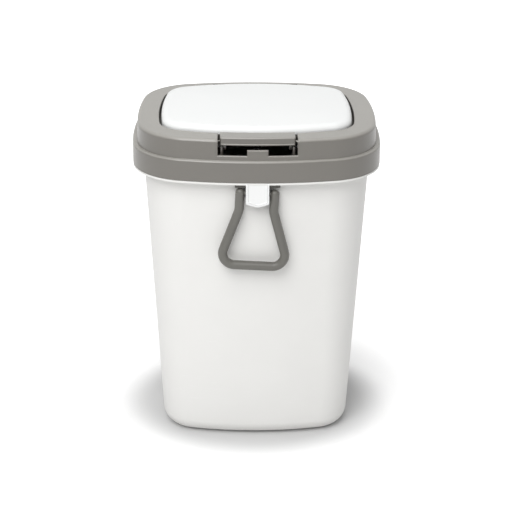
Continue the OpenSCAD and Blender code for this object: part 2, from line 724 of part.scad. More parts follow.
// Saddle: bearing block behind the tongue, with a strip under the flange on each side
module loop_saddle() {
    strip_z = flange_low_z - strip_h;
    color(dark_grey) difference() {
        union() {
            box([-tongue_w / 2, -tongue_y + tongue_t + fit_gap, loop_z - 4.6], [tongue_w / 2, -wall_y + 3, flange_low_z - foot_t]);
            box([-saddle_w / 2, -loop_y - 1.6, strip_z], [saddle_w / 2, -wall_y + 3, flange_low_z]);
        }
        box([-tongue_w / 2 - 0.1, -half_d, flange_low_z - foot_t], [tongue_w / 2 + 0.1, 0, flange_low_z + 1]);
        skin(levels([[wall_at(loop_z - 10), loop_z - 10], [wall_at(flange_low_z - 1), flange_low_z - 1],
            [wall_in - 1, flange_low_z], [wall_in - 1, flange_low_z + 2]]));
        translate([0, -loop_y, loop_z]) rotate([0, loop_lean, 0])
            rod_x(-tongue_w, tongue_w, 0, 0, loop_pin_r + run_gap);
    }
}

// Middle line of the right half of the loop, from the top of its leg to its lower bar
function loop_line() = concat(
    [[leg_x, 0]],
    arc(bend_c, leg_bend_r, 180, 180 + slant, 3),
    arc(loop_corner_c, loop_corner_r, slant, -90, 8));

module carry_loop() {
    line = loop_line();
    n = len(line);
    path = concat(line, [for (i = [n - 1:-1:0]) [-line[i].x, line[i].y]]);
    sides = 16;
    rings = [for (i = [0:len(path) - 1])
        let (d = path[min(i + 1, len(path) - 1)] - path[max(i - 1, 0)], t = d / norm(d))
        [for (j = [0:sides - 1]) let (a = 360 * j / sides)
            [path[i].x - rod_r * sin(a) * t.y, rod_r * cos(a), path[i].y + rod_r * sin(a) * t.x]]];
    cap_levels = [[0.95, 0.2], [0.75, 0.6], [0.45, 0.88]];
    start = [for (c = cap_levels) [for (q = rings[0]) [leg_x + (q.x - leg_x) * c[1], q.y * c[1], c[0] * rod_r]]];
    finish = [for (i = [2:-1:0]) [for (q = rings[len(path) - 1])
        [-leg_x + (q.x + leg_x) * cap_levels[i][1], q.y * cap_levels[i][1], cap_levels[i][0] * rod_r]]];
    pin_end = leg_x - rod_r - loop_pin_len;
    color(dark_grey) translate([0, -loop_y, loop_z]) rotate([0, loop_lean, 0]) union() {
        skin(concat(start, rings, finish));
        rod_x(pin_end, leg_x, 0, 0, loop_pin_r);
        rod_x(-leg_x, -pin_end, 0, 0, loop_pin_r);
    }
}
loop_pin_len = 6.2;

bucket();
loop_saddle();
handle_tab();
carry_loop();
lid_ring();
lid_bumpers();
hinge_pin_left();
hinge_pin_right();
hinge_spring_left();
hinge_spring_right();
press_bar();
press_pin_left();
press_pin_right();
press_spring();
lid_panel();
lid_inner();
lid_screws();
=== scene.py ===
import math

import bmesh
import bpy
from mathutils import Matrix, Vector


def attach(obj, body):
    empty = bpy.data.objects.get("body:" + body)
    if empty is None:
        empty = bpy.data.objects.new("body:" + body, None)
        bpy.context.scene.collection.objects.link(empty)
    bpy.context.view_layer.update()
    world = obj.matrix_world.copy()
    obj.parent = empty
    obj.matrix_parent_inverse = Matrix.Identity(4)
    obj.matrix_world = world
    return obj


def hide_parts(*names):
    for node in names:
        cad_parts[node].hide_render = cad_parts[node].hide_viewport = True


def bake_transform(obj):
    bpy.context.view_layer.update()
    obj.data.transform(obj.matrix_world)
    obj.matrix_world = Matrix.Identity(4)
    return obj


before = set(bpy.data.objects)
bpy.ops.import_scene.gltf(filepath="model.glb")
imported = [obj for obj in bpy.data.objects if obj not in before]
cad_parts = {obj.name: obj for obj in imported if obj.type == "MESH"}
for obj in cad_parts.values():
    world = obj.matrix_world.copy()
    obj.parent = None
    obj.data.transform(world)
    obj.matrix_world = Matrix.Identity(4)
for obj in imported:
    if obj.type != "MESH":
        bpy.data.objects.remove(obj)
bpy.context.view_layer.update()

MM = 0.001
SIDES = ((-1, "left"), (1, "right"))

# Sizes that follow the construction, in millimetres. Heights end in Z and are from the table.
# A name that ends in IN is an inset from an outline.
HALF_W, HALF_D, MOUTH_D = 95.0, 80.0, 82.3
FRONT_X = [0, 2.4, 4.8, 6.6, 8.8, 12, 16, 20, 24, 27.4, 30, 32.4, 36, 40]
FLANGE_Z, RING_Z, STEP_Z, TOP_Z = 224.5, 224.65, 240.85, 256.25

# Bucket
WALL_IN, BASE_IN, WALL_T, BASE_T = 8.3, 18.9, 1.8, 4.0
BASE_ROUND, BASE_RIM, WALL_LEVELS = 12.0, 5.0, (60, 110, 160, 205)
FLANGE_IN, FLANGE_T, FLANGE_ROUND = 0.1, 1.6, 0.35
COLLAR_IN, COLLAR_T, COLLAR_H, COLLAR_ROUND = 2.7, 1.8, 11.5, 0.6

# Ring, with its opening and the seat of the lid
RING_WALL, STEP_IN, OPENING_IN = 2.0, 2.3, 20.6
STEP_ROUND, TOP_ROUND, OPENING_ROUND = 1.8, 2.8, 0.8
SEAT_Z, SEAT_W, SEAT_T = 250.75, 4.5, 1.8

# Front window, the pocket behind it and the way through for the bar's hook
SILL_Z, STOP_Z, POCKET_Z, NOTCH_Z = 244.35, 248.65, 239.85, 255.35
WINDOW_HALF, STOP_HALF, PASSAGE_HALF, POCKET_IN = 28.75, 7.75, 7.5, 3.6
RIB_X, RIB_W, RIB_IN = 25.35, 1.8, 9
SPRING_Y, POST_R, POST_TIP_R = -(HALF_D - STEP_IN - RING_WALL - 5.2), 3.2, 1.3

# Press bar
BAR_TOP_Z, BAR_LOW_Z, BAR_UNDER_Z = 257.45, 251.45, 255.65
BAR_HALF, BAR_IN, BAR_BACK_Y, BAR_WALL = 27.2, 4.4, -62.5, 1.5
PRESS_Y, PRESS_Z, LUG_T, LUG_R, LUG_GAP = -65.3, 247.65, 2.2, 2.1, 0.4
CATCH_Z, NOSE_Z, NOSE_T, HOOK_HALF, CUP_R, CUP_BORE_R = 252.45, 252.65, 1.6, 6, 3.6, 2.8

# Lid
LID_IN, INNER_IN, CROWN_IN = 22.4, 24.0, 37
ROUND_W, ROUND_H, CROWN_H, SHOULDER_Z = 5.0, 4.4, 0.9, TOP_Z - 0.3
RIM_Z, PANEL_T, PLATE_T, RIB_T, CATCH_HALF = 251.05, 1.8, 1.6, 1.4, 6.5
BOSS_R, BOSS_BORE_R, BOSS_H, PLATE_BOSS_R, HEAD_BORE_R, SHANK_BORE_R = 3.0, 1.2, 1.2, 4.2, 2.8, 1.5
SCREWS = [(x, y) for x in (-48, 48) for y in (-30, 30)]
BUMPER_X, BUMPER_IN, BUMPER_R = 40, LID_IN + 0.9, 1.6

# Hinge of the lid, in a well at the rear
HINGE_Y, HINGE_Z, WELL_Z, WELL_HALF, WELL_FRONT = 65.5, 253.95, 249.65, 34.6, 54.0
KNUCKLE_X, KNUCKLE_W, KNUCKLE_R, COIL_X = 19.8, 6.0, 2.6, 26.2
EAR_X, OUTER_EAR_X, EAR_T, EAR_R = 17.4, 31.6, 2.0, 2.4
PIN_R, BORE_R = 1.0, 1.05

# Tongue, saddle and loop
TONGUE_H, TONGUE_TIP, TONGUE_HALF, TONGUE_T, FOOT_T = 14.6, 2.4, 8.5, 1.8, 1.2
SADDLE_HALF, STUB_R, STUB_BORE_R = 16.5, 1.7, 1.75
LOOP_Y, LOOP_Z, LOOP_LEAN = -75.3, 215.3, 3.0
ROD_R, LEG_X, LEG_H, BEND_R, LOOP_CORNER_R, LOOP_H, LOOP_W = 3.45, 12.7, 11.5, 16.0, 9.25, 57.75, 53.2

# Camera, from the fit of the part's outline to the photograph: angles in degrees, the target in metres,
# the focal length and the picture in pixels, and the sensor in millimetres
AZIMUTH, ELEVATION, ROLL = -1.0, 23.8, 0.4
TARGET = (0.00055, 0, 0.1322)
FOCAL_PX, PICTURE_PX, SENSOR = 1232.4, 512, 36.0


class Outline:
    """A plan outline of four bows and four corners; t is the inset from it."""

    def __init__(self, half_w, half_d, side_r, front_r, corner_r):
        self.side_r, self.front_r, self.corner_r = side_r, front_r, corner_r
        self.side_c, self.front_c = Vector((half_w - side_r, 0)), Vector((0, half_d - front_r))
        a, b = side_r - corner_r, front_r - corner_r
        d = (self.front_c - self.side_c).length
        u = (self.front_c - self.side_c) / d
        along = (a * a - b * b + d * d) / (2 * d)
        self.corner_c = self.side_c + along * u + math.sqrt(a * a - along * along) * Vector((-u.y, u.x))
        self.side_turn = math.atan2(self.corner_c.y, self.corner_c.x - self.side_c.x)
        self.front_turn = math.atan2(self.corner_c.y - self.front_c.y, self.corner_c.x)

    def bow_y(self, x, t):
        return self.front_c.y + math.sqrt((self.front_r - t) ** 2 - x * x)

    def points(self, t):
        """Counter-clockwise from +X; the front and rear have points at fixed x."""
        side, corner = 12, 26
        quarter = []
        for i in range(side):
            a = self.side_turn * i / side
            quarter.append((self.side_c.x + (self.side_r - t) * math.cos(a), (self.side_r - t) * math.sin(a)))
        for i in range(corner + 1):
            a = self.side_turn + (self.front_turn - self.side_turn) * i / corner
            quarter.append((self.corner_c.x + (self.corner_r - t) * math.cos(a),
                            self.corner_c.y + (self.corner_r - t) * math.sin(a)))
        for x in reversed(FRONT_X):
            quarter.append((x, self.bow_y(x, t)))
        top = quarter + [(-x, y) for x, y in reversed(quarter[:-1])]
        return top + [(-x, -y) for x, y in top[1:-1]]


# Outlines of the skirt, of the slightly narrower tier above it, and of the lid's opening
SKIRT = Outline(HALF_W, HALF_D, 315.0, 290.0, 46.5)
TIER = Outline(HALF_W - 1.3, HALF_D, 315.0, 290.0, 46.5)
MOUTH = Outline(HALF_W, MOUTH_D, 315.0, 210.6, 43.0)


def wall_at(z):
    """Inset of the bucket's outside at a height."""
    return WALL_IN + (BASE_IN - WALL_IN) * (FLANGE_Z - z) / FLANGE_Z


def arc(cx, cz, r, start, end, n, rz=None):
    """Points of an arc, or of an ellipse's when it has a second radius rz."""
    rz = r if rz is None else rz
    steps = [math.radians(start + (end - start) * i / n) for i in range(n + 1)]
    return [(cx + r * math.cos(a), cz + rz * math.sin(a)) for a in steps]


def span(side, start, width):
    """The x range of a slab that reaches outwards from start on one side."""
    return sorted((side * start, side * (start + width)))


# Mesh building

def new_object(name, bm):
    bmesh.ops.recalc_face_normals(bm, faces=bm.faces)
    mesh = bpy.data.meshes.new(name)
    bm.to_mesh(mesh)
    bm.free()
    obj = bpy.data.objects.new(name, mesh)
    bpy.context.scene.collection.objects.link(obj)
    return obj


def loft(rings, looped=False):
    """A skin over rings of points, closed by two caps or back onto its first ring."""
    bm = bmesh.new()
    rows = [[bm.verts.new((x * MM, y * MM, z * MM)) for x, y, z in ring] for ring in rings]
    pairs = list(zip(rows, rows[1:])) + ([(rows[-1], rows[0])] if looped else [])
    for low, high in pairs:
        n = len(low)
        for i in range(n):
            bm.faces.new((low[i], low[(i + 1) % n], high[(i + 1) % n], high[i]))
    if not looped:
        bm.faces.new(rows[0][::-1])
        bm.faces.new(rows[-1])
    return bm


def levels(profile, outline=SKIRT):
    """Rings at each inset and height of a profile."""
    return [[(x, y, z) for x, y in outline.points(t)] for t, z in profile]


def box(low, high):
    bm = bmesh.new()
    size = [b - a for a, b in zip(low, high)]
    middle = [(a + b) / 2 for a, b in zip(low, high)]
    made = bmesh.ops.create_cube(bm, size=1.0)
    bmesh.ops.scale(bm, vec=[s * MM for s in size], verts=made["verts"])
    bmesh.ops.translate(bm, vec=[m * MM for m in middle], verts=made["verts"])
    return bm


def rod(start, end, r, sides=40):
    """A cylinder from start to end."""
    bm = bmesh.new()
    a, b = Vector(start) * MM, Vector(end) * MM
    turn = Vector((0, 0, 1)).rotation_difference(b - a).to_matrix().to_4x4()
    bmesh.ops.create_cone(bm, cap_ends=True, segments=sides, radius1=r * MM, radius2=r * MM,
                          depth=(b - a).length, matrix=Matrix.Translation((a + b) / 2) @ turn)
    return bm


def pin_bore(side, x0, x1, y, z, r):
    """What a pin's bore along x takes out on one side."""
    return rod((side * x0, y, z), (side * x1, y, z), r, 32)


def lathe(profile, sides=48):
    """Profile of (radius, height) turned about Z; the first and last points lie on the axis."""
    bm = bmesh.new()
    turns = [2 * math.pi * i / sides for i in range(sides)]
    rows = []
    for r, z in profile:
        if r < 1e-9:
            rows.append([bm.verts.new((0, 0, z * MM))])
        else:
            rows.append([bm.verts.new((r * MM * math.cos(a), r * MM * math.sin(a), z * MM)) for a in turns])
    for low, high in zip(rows, rows[1:]):
        for i in range(sides):
            j = (i + 1) % sides
            ring = [low[i % len(low)], low[j % len(low)], high[j % len(high)], high[i % len(high)]]
            bm.faces.new(list(dict.fromkeys(ring)))
    return bm


def bake(obj):
    """Applies all modifiers of an object."""
    depsgraph = bpy.context.evaluated_depsgraph_get()
    mesh = bpy.data.meshes.new_from_object(obj.evaluated_get(depsgraph))
    old = obj.data
    obj.modifiers.clear()
    obj.data = mesh
    bpy.data.meshes.remove(old)


def combine(obj, bm, operation):
    """Boolean of an object with a mesh, applied at once."""
    other = new_object("tool", bm)
    mod = obj.modifiers.new("bool", "BOOLEAN")
    mod.operation, mod.solver, mod.object = operation, "EXACT", other
    bake(obj)
    mesh = other.data
    bpy.data.objects.remove(other)
    bpy.data.meshes.remove(mesh)


def unite(obj, *tools):
    for tool in tools:
        combine(obj, tool, "UNION")


def cut_away(obj, *tools):
    for tool in tools:
        combine(obj, tool, "DIFFERENCE")


def round_edges(obj, choose, width):
    """Rounds the edges whose two ends, in millimetres, are chosen."""
    bm = bmesh.new()
    bm.from_mesh(obj.data)
    edges = [e for e in bm.edges if len(e.link_faces) == 2 and e.calc_face_angle() > 0.6
             and choose(e.verts[0].co / MM, e.verts[1].co / MM)]
    bmesh.ops.bevel(bm, geom=edges, offset=width * MM, segments=4, profile=0.5, affect="EDGES",
                    clamp_overlap=False)
    bm.to_mesh(obj.data)
    bm.free()


def soften(obj, width=0.3, segments=2, angle=35, sharp=50):
    """Rounds the sharp edges and sets smooth shading with normals that follow the large faces."""
    bm = bmesh.new()
    bm.from_mesh(obj.data)
    bmesh.ops.remove_doubles(bm, verts=bm.verts, dist=0.00002)
    bmesh.ops.dissolve_degenerate(bm, edges=bm.edges, dist=0.00001)
    bm.to_mesh(obj.data)
    bm.free()
    if width:
        mod = obj.modifiers.new("bevel", "BEVEL")
        mod.width, mod.segments = width * MM, segments
        mod.limit_method, mod.angle_limit = "ANGLE", math.radians(angle)
        mod.use_clamp_overlap = False
        mod.miter_outer = "MITER_ARC"
        bake(obj)
    for poly in obj.data.polygons:
        poly.use_smooth = True
    obj.data.set_sharp_from_angle(angle=math.radians(sharp))
    mod = obj.modifiers.new("normals", "WEIGHTED_NORMAL")
    mod.keep_sharp = True
    bake(obj)


def place(obj, body, slot, material, *nodes):
    """Gives a piece its material, its body and the nodes that it replaces."""
    obj.data.materials.clear()
    obj.data.materials.append(material)
    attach(obj, body)
    if nodes:
        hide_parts(*nodes)


# Materials

class Node:
    """A socket of a shader tree; arithmetic on it adds Math nodes."""

    def __init__(self, tree, socket):
        self.tree, self.socket = tree, socket

    def calc(self, operation, *values):
        return self.tree.add("ShaderNodeMath", {"operation": operation}, *values)

    def __add__(self, other):
        return self.calc("ADD", self, other)

    def __radd__(self, other):
        return self.calc("ADD", other, self)

    def __sub__(self, other):
        return self.calc("SUBTRACT", self, other)

    def __rsub__(self, other):
        return self.calc("SUBTRACT", other, self)

    def __mul__(self, other):
        return self.calc("MULTIPLY", self, other)

    def __rmul__(self, other):
        return self.calc("MULTIPLY", other, self)

    def __truediv__(self, other):
        return self.calc("DIVIDE", self, other)

    def __pow__(self, other):
        return self.calc("POWER", self, other)

    def smooth(self, low, high):
        """0 below low, 1 above high, smooth between them."""
        settings = {"interpolation_type": "SMOOTHSTEP"}
        return self.tree.add("ShaderNodeMapRange", settings, self, low, high, 0.0, 1.0)


class Shading:
    """The node tree of a material or of the world."""

    def __init__(self, owner, shader):
        owner.use_nodes = True
        self.nodes, self.links = owner.node_tree.nodes, owner.node_tree.links
        self.shader = self.nodes[shader]

    def fill(self, node, key, value):
        """Links a socket to a node, or sets it to a value."""
        if isinstance(value, Node):
            self.links.new(value.socket, node.inputs[key])
        else:
            node.inputs[key].default_value = value

    def add(self, kind, settings, *values, output=0, **named):
        """A node with its settings, its sockets by order or by name, and the output that is used."""
        node = self.nodes.new(kind)
        for key, value in settings.items():
            setattr(node, key, value)
        for key, value in list(enumerate(values)) + [(k.replace("_", " "), v) for k, v in named.items()]:
            self.fill(node, key, value)
        return Node(self, node.outputs[output])

    def feed(self, name, value):
        self.links.new(value.socket, self.shader.inputs[name])

    def seen(self):
        """1 for rays from the camera and for those that show the background in gloss or glass."""
        path = self.nodes.new("ShaderNodeLightPath")
        camera, gloss, glass = [Node(self, path.outputs["Is %s Ray" % kind])
                                for kind in ("Camera", "Glossy", "Transmission")]
        return camera.calc("MAXIMUM", camera.calc("MAXIMUM", camera, gloss), glass)


class Surface(Shading):
    """One Principled material and the nodes that feed it."""

    def __init__(self, name, **fixed):
        self.material = bpy.data.materials.new(name)
        super().__init__(self.material, "Principled BSDF")
        for key, value in fixed.items():
            self.shader.inputs[key.replace("_", " ")].default_value = value

    def coordinate(self, kind):
        return self.add("ShaderNodeTexCoord", {}, output=kind)

    def axis(self, vector, letter):
        return self.add("ShaderNodeSeparateXYZ", {}, vector, output=letter)

    def mapped(self, vector, turn, scale):
        return self.add("ShaderNodeMapping", {}, vector, (0, 0, 0), turn, scale)

    def noise(self, where, scale, detail=2.0, rough=0.5):
        return self.add("ShaderNodeTexNoise", {}, Vector=where, Scale=scale, Detail=detail, Roughness=rough)

    def mix(self, factor, low, high):
        """A mix of two colours; a Mix node has its colours at sockets 6 and 7, and their mix at 2."""
        node = self.nodes.new("ShaderNodeMix")
        node.data_type = "RGBA"
        for key, value in ((0, factor), (6, low), (7, high)):
            self.fill(node, key, value)
        return Node(self, node.outputs[2])

    def bump(self, height, strength, distance):
        relief = self.add("ShaderNodeBump", {}, Strength=strength, Distance=distance, Height=height)
        self.feed("Normal", relief)


def scaled(colour, k, lift=0.0):
    """A colour k times as bright, with an even lift."""
    return tuple(min(1.0, c * k + lift) for c in colour[:3]) + (1.0,)


# DUST is the dust at the foot; PAINTED_SHEEN is the pale colour of a painted sheen on faces that point up.
DUST, PAINTED_SHEEN = (0.45, 0.42, 0.38, 1.0), (0.56, 0.545, 0.505, 1.0)


def plastic(name, colour, rough=0.45, grain=0.35, shade=0.05, dust=0.0, painted_sheen=0.0, specular=0.4):
    """Moulded plastic: spark-eroded grain, slow changes of tone, scuffs, dust at the foot, and a painted
    sheen that lightens the faces that point up.
    """
    s = Surface(name, Specular_IOR_Level=specular)
    where = s.coordinate("Object")
    slow = s.noise(where, 28.0, 3.0, 0.55)
    fine = s.noise(where, 900.0, 2.0, 0.6)
    pores = s.noise(where, 2600.0, 1.0, 0.5)
    scuffs = s.noise(s.mapped(where, (0.3, 0.5, 0.9), (60.0, 260.0, 900.0)), 1.0, 4.0)
    worn = scuffs.smooth(0.63, 0.72) * slow.smooth(0.45, 0.62)
    tone = s.mix(slow.smooth(0.3, 0.7), scaled(colour, 1 - shade), colour)
    tone = s.mix(worn * 0.12, tone, scaled(colour, 1.25, 0.03))
    if dust:
        low = 1.0 - s.axis(where, "Z").smooth(0.0, 0.02)
        tone = s.mix(low * fine.smooth(0.35, 0.7) * dust, tone, DUST)
    # Painted sheen: the more a face points up, the more it is mixed toward a pale colour.
    if painted_sheen:
        up = s.axis(s.coordinate("Normal"), "Z").smooth(0.1, 0.9)
        tone = s.mix(up * (slow * 0.3 + 0.85) * painted_sheen, tone, PAINTED_SHEEN)
    s.feed("Base Color", tone)
    s.feed("Roughness", rough + (fine - 0.5) * 0.12 + (slow - 0.5) * 0.1 + worn * 0.15)
    s.bump(pores * 0.6 + fine * 0.4, grain, 0.00005)
    return s.material


def metal(name, colour, rough=0.25):
    """Steel wire or pin drawn along x: fine lines along the draw, faint oil staining."""
    s = Surface(name, Metallic=1.0)
    where = s.coordinate("Object")
    lines = s.noise(s.mapped(where, (0, 0, 0), (90.0, 5200.0, 5200.0)), 1.0, 3.0, 0.6)
    stain = s.noise(where, 420.0, 3.0, 0.6).smooth(0.45, 0.75)
    s.feed("Base Color", s.mix(stain * 0.35, colour, scaled(colour, 0.72)))
    s.feed("Roughness", rough + (lines - 0.5) * 0.2 + stain * 0.12)
    s.bump(lines, 0.25, 0.00002)
    return s.material


WHITE_BODY = plastic("white_body", (0.83, 0.825, 0.805, 1), rough=0.5, shade=0.015, dust=0.12)
WHITE_LID = plastic("white_lid", (0.82, 0.83, 0.825, 1), rough=0.45, shade=0.01, grain=0.25, specular=0.3)
# The tongue's white is lighter than the bucket's: painted light that lifts its shaded, recessed field.
WHITE_TAB_PAINTED_LIGHT = plastic("white_tab_painted_light", (0.86, 0.865, 0.86, 1), rough=0.4, shade=0.01, grain=0.2, specular=0.4)
# The ring and the bar carry a painted sheen on their upward faces.
GREY_RING = plastic("grey_ring", (0.131, 0.122, 0.106, 1), rough=0.36, painted_sheen=0.36, specular=0.85)
GREY_BAR = plastic("grey_bar", (0.11, 0.102, 0.089, 1), rough=0.36, painted_sheen=0.34, specular=0.85)
# A darker grey for the ring's inner faces: painted shade in the gap round the lid and in the hollows.
GREY_PAINTED_SHADE = plastic("grey_ring_painted_shade", (0.085, 0.081, 0.073, 1), rough=0.55, shade=0.08, grain=0.5,
                    specular=0.3)
GREY_INNER = plastic("grey_inner", (0.25, 0.24, 0.22, 1), rough=0.6, shade=0.06, grain=0.5)
GREY_LOOP = plastic("grey_loop", (0.132, 0.128, 0.114, 1), rough=0.4, shade=0.08, specular=0.5)
# The saddle's grey is darker than the loop's: painted shade for the strip under the flange.
SADDLE_PAINTED_SHADE = plastic("grey_saddle_painted_shade", (0.09, 0.086, 0.077, 1), rough=0.5, shade=0.1, specular=0.4)
STEEL = metal("steel_pin", (0.62, 0.63, 0.64, 1))
# Darkened steel for the press pins and spring: painted shade for the dark pocket they sit in.
DARK_STEEL_PAINTED_SHADE = metal("steel_painted_shade", (0.035, 0.035, 0.038, 1), rough=0.5)
WIRE = metal("steel_wire", (0.5, 0.5, 0.5, 1), rough=0.3)
RUBBER = plastic("rubber", (0.035, 0.035, 0.035, 1), rough=0.75, shade=0.2, grain=0.6, specular=0.25)


# Bucket

def bucket_foot(r, inset, z0, steps):
    """The rounding between the wall and the base, from the wall down, as (inset, height)."""
    turns = [math.radians(90 * i / steps) for i in range(steps + 1)]
    heights = [z0 + r * (1 - math.sin(a)) for a in turns]
    return [(wall_at(z) + inset + r * (1 - math.cos(a)), z) for a, z in zip(turns, heights)]


def make_bucket():
    outside = bucket_foot(BASE_ROUND, 0, 0, 12)[::-1]
    inside = bucket_foot(BASE_ROUND - WALL_T, WALL_T, BASE_T, 10)
    low, up = FLANGE_Z - FLANGE_T, FLANGE_Z + COLLAR_H
    foot = BASE_IN + BASE_ROUND + BASE_RIM
    outer_wall = [(wall_at(z), z) for z in WALL_LEVELS]
    inner_wall = [(wall_at(z) + WALL_T, z) for z in reversed(WALL_LEVELS)]
    edge, lip = FLANGE_IN + FLANGE_ROUND, COLLAR_ROUND
    flange = (
        arc(WALL_IN - 0.75, low - 0.8, 0.8, 0, 90, 3)
        + arc(edge, low + FLANGE_ROUND, FLANGE_ROUND, 270, 180, 3)
        + arc(edge, FLANGE_Z - FLANGE_ROUND, FLANGE_ROUND, 180, 90, 3))
    collar = (
        [(COLLAR_IN, FLANGE_Z)] + arc(COLLAR_IN + lip, up - lip, lip, 180, 90, 4)
        + arc(COLLAR_IN + COLLAR_T - lip, up - lip, lip, 90, 0, 4)
        + [(COLLAR_IN + COLLAR_T, FLANGE_Z + 0.4), (WALL_IN + WALL_T, FLANGE_Z - 1.2)])
    base = [(foot + 2.2, 2.0)] + arc(foot + 0.6, 0.6, 0.6, 0, -90, 3)
    profile = base + outside[1:] + outer_wall + flange + collar + inner_wall + inside
    obj = new_object("bucket_shell", loft(levels(profile)))
    soften(obj, width=0)
    place(obj, "bucket_body", "white_body", WHITE_BODY, "bucket")


# Ring

def band(x0, x1, near, far, z0, z1):
    """A slab between two front bows, each an inset and an outline."""
    bm = bmesh.new()
    xs = [x0] + sorted({s * x for s in (-1, 1) for x in FRONT_X if x0 + 0.3 < s * x < x1 - 0.3}) + [x1]
    n = len(xs) - 1
    corners = ((near, z0), (far, z0), (far, z1), (near, z1))
    rows = [[(x, -outline.bow_y(x, t), z) for x in xs] for (t, outline), z in corners]
    grid = [[bm.verts.new(Vector(p) * MM) for p in row] for row in rows]
    for low, high in zip(grid, grid[1:] + grid[:1]):
        for i in range(n):
            bm.faces.new((low[i], low[i + 1], high[i + 1], high[i]))
    bm.faces.new([row[0] for row in grid][::-1])
    bm.faces.new([row[-1] for row in grid])
    return bm


def encloses(line, x, y):
    """Whether a closed line has a point inside it."""
    odd = False
    for a, b in zip(line, line[1:] + line[:1]):
        if (a.y > y) != (b.y > y) and x < a.x + (b.x - a.x) * (y - a.y) / (b.y - a.y):
            odd = not odd
    return odd


def bumper_at(side):
    return side * BUMPER_X, -MOUTH.bow_y(BUMPER_X, BUMPER_IN)


def ring_shell():
    """Skirt, tier and opening with the lid's seat, as one closed section."""
    wall, seat_edge, under = RING_WALL, OPENING_IN + SEAT_W, SEAT_Z - SEAT_T
    skirt = (
        arc(0.4, RING_Z + 0.4, 0.4, 270, 180, 3)
        + arc(STEP_ROUND + 0.3, STEP_Z - STEP_ROUND, STEP_ROUND, 180, 95, 8))
    tier = (
        arc(STEP_IN - 0.25, STEP_Z + 0.25, 0.25, 270, 360, 3) + [(3.0, 252.6)]
        + arc(TOP_ROUND + 2.9, TOP_Z - TOP_ROUND, TOP_ROUND, 176, 90, 14))
    opening = (
        arc(OPENING_IN - OPENING_ROUND, TOP_Z - OPENING_ROUND, OPENING_ROUND, 90, 0, 5)
        + [(OPENING_IN, SEAT_Z + 0.3), (OPENING_IN + 0.3, SEAT_Z)]
        + arc(seat_edge - 0.3, SEAT_Z - 0.3, 0.3, 90, 0, 2)
        + [(seat_edge, under), (OPENING_IN - wall, under), (OPENING_IN - wall, TOP_Z - wall)])
    inner_tier = [(STEP_IN + wall + 0.6, TOP_Z - wall), (STEP_IN + wall, STEP_Z - wall)]
    inner_skirt = [(wall + 0.2, STEP_Z - wall), (wall, RING_Z)]
    rings = levels(skirt) + levels(tier, TIER) + levels(opening, MOUTH)
    return loft(rings + levels(inner_tier, TIER) + levels(inner_skirt), looped=True)


def window_cut():
    """What the window takes out: all but the stop tab, down to the sill, with the hook's way through."""
    half, inner = WINDOW_HALF, OPENING_IN - RING_WALL
    cut = new_object("cut", band(-half, half, (-2, SKIRT), (inner - 0.1, MOUTH), SILL_Z, TOP_Z + 2))
    cut_away(cut, band(-STOP_HALF, STOP_HALF, (-3, SKIRT), (4.5, SKIRT), SILL_Z - 1, STOP_Z))
    notch = band(-half, half, (inner - 0.2, MOUTH), (OPENING_IN + 0.2, MOUTH), NOTCH_Z, TOP_Z + 2)
    passage = band(-PASSAGE_HALF, PASSAGE_HALF, (inner - 0.3, MOUTH), (OPENING_IN + 0.3, MOUTH),
                   CATCH_Z - 0.3, TOP_Z + 1)
    unite(cut, notch, passage)
    bm = bmesh.new()
    bm.from_mesh(cut.data)
    bpy.data.objects.remove(cut)
    return bm


def window_edge(a, b):
    """Whether an edge is one of the window's or the stop tab's outer ones."""
    near = 0.02
    if max(a.y, b.y) > -60 or max(abs(a.x), abs(b.x)) > WINDOW_HALF + 0.1:
        return False
    upright = abs(a.x - b.x) < near and any(abs(abs(a.x) - half) < near for half in (WINDOW_HALF, STOP_HALF))
    level = abs(a.z - b.z) < near and any(abs(a.z - z) < near for z in (SILL_Z, STOP_Z))
    outer = all(p.y < -SKIRT.bow_y(p.x, 3.3) or p.z > TOP_Z - 2.2 for p in (a, b))
    return outer and (upright or level)


